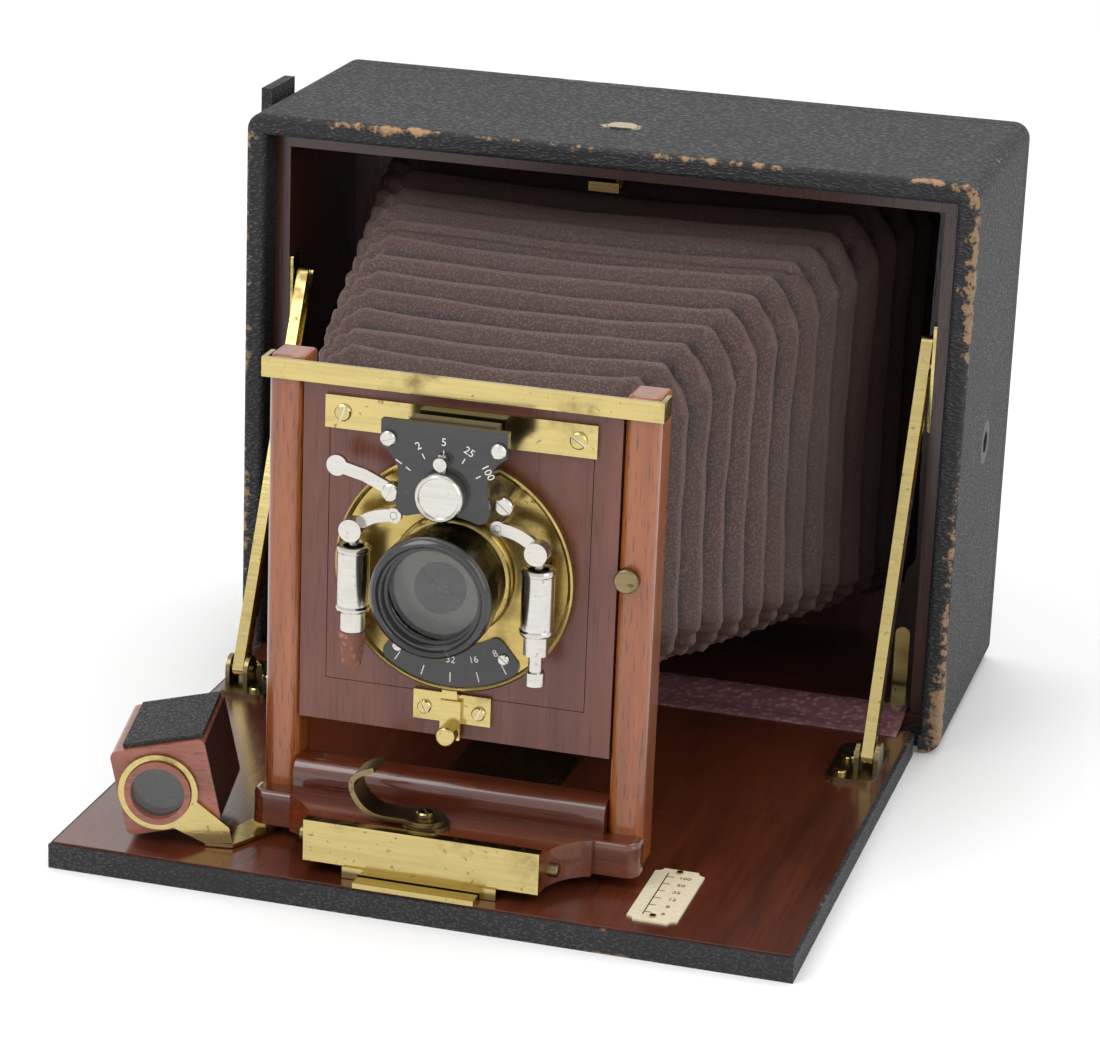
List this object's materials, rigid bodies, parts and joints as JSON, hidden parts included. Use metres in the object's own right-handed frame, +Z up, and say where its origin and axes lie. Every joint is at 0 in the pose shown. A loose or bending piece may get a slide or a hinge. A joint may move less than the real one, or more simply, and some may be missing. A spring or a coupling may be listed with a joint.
{
  "type": "folding view camera",
  "caption": "Folding wooden plate camera with its bed down: leather-covered case, tapered bellows, sliding brass-bound lens standard, between-lens shutter and reflecting finder.",
  "frame": {"origin": "mouth of the tripod socket in the middle of the case's underside", "axes": "+X right of someone in front of the lens, +Y from the lens to the ground glass, +Z up"},
  "size_m": [0.1788, 0.2008, 0.137],
  "materials": {
    "black_leather": "pebbled black leather with tan wear at the edges",
    "handle_leather": "smooth black strap leather",
    "bellows_leather": "thin brown-purple bellows leather",
    "hinge_leather": "polished reddish leather strip",
    "polished_mahogany": "french-polished red mahogany",
    "front_mahogany": "orange-brown polished mahogany",
    "panel_mahogany": "matt rubbed mahogany",
    "inner_mahogany": "dark stained mahogany",
    "bright_brass": "lacquered brass, worn and tarnished",
    "dull_brass": "brown tarnished brass",
    "nickel": "nickel plate, lightly scratched",
    "black_enamel": "black enamel",
    "dark_ring": "blackened brass",
    "glass": "clear lens glass",
    "ground": "finely ground glass",
    "ivory_card": "cream card with printed lines",
    "old_rubber": "perished red-brown rubber",
    "steel": "plain steel"
  },
  "bodies": {
    "case": {"case_shell": "black_leather", "case_liner": "inner_mahogany", "case_floor": "inner_mahogany", "tripod_bushes": "dull_brass", "bellows_rear_frame": "inner_mahogany", "case_hinge_leaves": "dull_brass", "hinge_pins": "steel", "handle_strap": "handle_leather", "strap_keepers": "dull_brass", "wall_fittings": "bright_brass", "hinge_strip": "hinge_leather", "bellows_rear": "bellows_leather"},
    "release": {"release_button": "black_leather", "latch_hook": "bright_brass"},
    "focus_back": {"focus_frame": "front_mahogany", "ground_glass": "ground", "focus_springs": "bright_brass"},
    "door": {"back_door": "black_leather", "door_hinge_leaves": "dull_brass"},
    "bed": {"bed_board": "polished_mahogany", "bed_cover": "black_leather", "bed_hinge_leaves": "dull_brass", "track_plate": "bright_brass", "scale_card": "ivory_card", "brace_brackets": "dull_brass", "bed_screws": "bright_brass", "bellows_middle": "bellows_leather"},
    "left_brace": {"brace_left": "bright_brass"},
    "right_brace": {"brace_right": "bright_brass"},
    "standard": {"base_plank": "polished_mahogany", "base_block": "polished_mahogany", "uprights": "front_mahogany", "top_bar": "bright_brass", "nameplate": "bright_brass", "track_clamp": "bright_brass", "standard_screws": "dull_brass", "finder_bracket": "bright_brass"},
    "track_lock": {"lock_lever": "dull_brass"},
    "rise_clamp": {"rise_knob": "dull_brass"},
    "panel": {"panel_frame": "panel_mahogany", "lens_board": "panel_mahogany", "board_plates": "bright_brass", "front_screws": "nickel", "shutter_disc": "bright_brass", "dial_housing": "black_enamel", "air_cylinders": "nickel", "hose_stub": "old_rubber", "lens_barrel": "dark_ring", "lens_glass": "glass", "aperture_scale": "black_enamel", "bellows_tip": "bellows_leather"},
    "catch": {"board_catch": "dull_brass"},
    "speed": {"speed_dial": "nickel"},
    "trigger": {"trigger_lever": "nickel"},
    "left_arm": {"plunger_arm_left": "nickel"},
    "right_arm": {"plunger_arm_right": "nickel"},
    "aperture": {"aperture_pointer": "bright_brass"},
    "finder": {"finder_body": "panel_mahogany", "finder_optics": "glass"},
    "finder_lid": {"finder_flap": "handle_leather"}
  },
  "joints": [
    {"name": "bed_fold", "type": "hinge", "parent": "case", "child": "bed", "pos_m": [0, -0.0364, 0.001], "axis": [-1, 0, 0], "range_deg": [0, 20], "deforming": ["bellows_rear", "hinge_strip"]},
    {"name": "left_brace_turn", "type": "hinge", "parent": "bed", "child": "left_brace", "pos_m": [-0.0749, -0.0649, 0.01], "axis": [-1, 0, 0], "range_deg": [-21, 1]},
    {"name": "right_brace_turn", "type": "hinge", "parent": "bed", "child": "right_brace", "pos_m": [0.0749, -0.0649, 0.01], "axis": [-1, 0, 0], "range_deg": [-21, 1]},
    {"name": "standard_slide", "type": "slide", "parent": "bed", "child": "standard", "axis": [0, 1, 0], "range_m": [-0.003, 0.04], "deforming": ["bellows_middle"]},
    {"name": "track_lock_turn", "type": "hinge", "parent": "standard", "child": "track_lock", "pos_m": [-0.0015, -0.1525, 0.0179], "axis": [0, 0, 1], "range_deg": [0, 60]},
    {"name": "rise_clamp_turn", "type": "hinge", "parent": "standard", "child": "rise_clamp", "pos_m": [0.0364, -0.1418, 0.0718], "axis": [0, -1, 0], "range_deg": [-60, 60]},
    {"name": "panel_rise", "type": "slide", "parent": "standard", "child": "panel", "axis": [0, 0, 1], "range_m": [-0.006, 0.002], "deforming": ["bellows_tip"]},
    {"name": "board_catch_slide", "type": "slide", "parent": "panel", "child": "catch", "axis": [0, 0, -1], "range_m": [0, 0.0025]},
    {"name": "speed_dial_turn", "type": "hinge", "parent": "panel", "child": "speed", "pos_m": [0, -0.1517, 0.0886], "axis": [0, -1, 0], "range_deg": [-60, 60]},
    {"name": "trigger_press", "type": "hinge", "parent": "panel", "child": "trigger", "pos_m": [-0.012, -0.1475, 0.0866], "axis": [0, -1, 0], "range_deg": [0, 10], "stiffness_Nm_per_rad": 0.002},
    {"name": "left_arm_turn", "type": "hinge", "parent": "panel", "child": "left_arm", "pos_m": [-0.011, -0.1493, 0.082], "axis": [0, 1, 0], "range_deg": [0, 5]},
    {"name": "right_arm_turn", "type": "hinge", "parent": "panel", "child": "right_arm", "pos_m": [0.011, -0.1493, 0.082], "axis": [0, 1, 0], "range_deg": [0, 5]},
    {"name": "aperture_turn", "type": "hinge", "parent": "panel", "child": "aperture", "pos_m": [0, -0.1423, 0.0686], "axis": [0, -1, 0], "range_deg": [-35, 35]},
    {"name": "finder_turn", "type": "hinge", "parent": "standard", "child": "finder", "pos_m": [-0.0586, -0.1574, 0.0176], "axis": [0.2079, -0.9781, 0], "range_deg": [-12, 12]},
    {"name": "finder_lid_lift", "type": "hinge", "parent": "finder", "child": "finder_lid", "pos_m": [-0.0496, -0.15549, 0.02988], "axis": [-0.2079, 0.9781, 0], "range_deg": [0, 100]},
    {"name": "back_door_swing", "type": "hinge", "parent": "case", "child": "door", "pos_m": [-0.0869, 0.0299, 0.0675], "axis": [0, 0, 1], "range_deg": [0, 110]},
    {"name": "focus_back_spring", "type": "slide", "parent": "case", "child": "focus_back", "axis": [0, 1, 0], "range_m": [0, 0.002], "stiffness_N_per_m": 400},
    {"name": "release_press", "type": "slide", "parent": "case", "child": "release", "axis": [0, 0, -1], "range_m": [0, 0.0015], "stiffness_N_per_m": 800}
  ],
  "couplings": [
    {"joint": "left_brace_turn", "follows": "bed_fold", "ratio": -1},
    {"joint": "right_brace_turn", "follows": "bed_fold", "ratio": -1},
    {"joint": "right_arm_turn", "follows": "left_arm_turn", "ratio": 1}
  ]
}
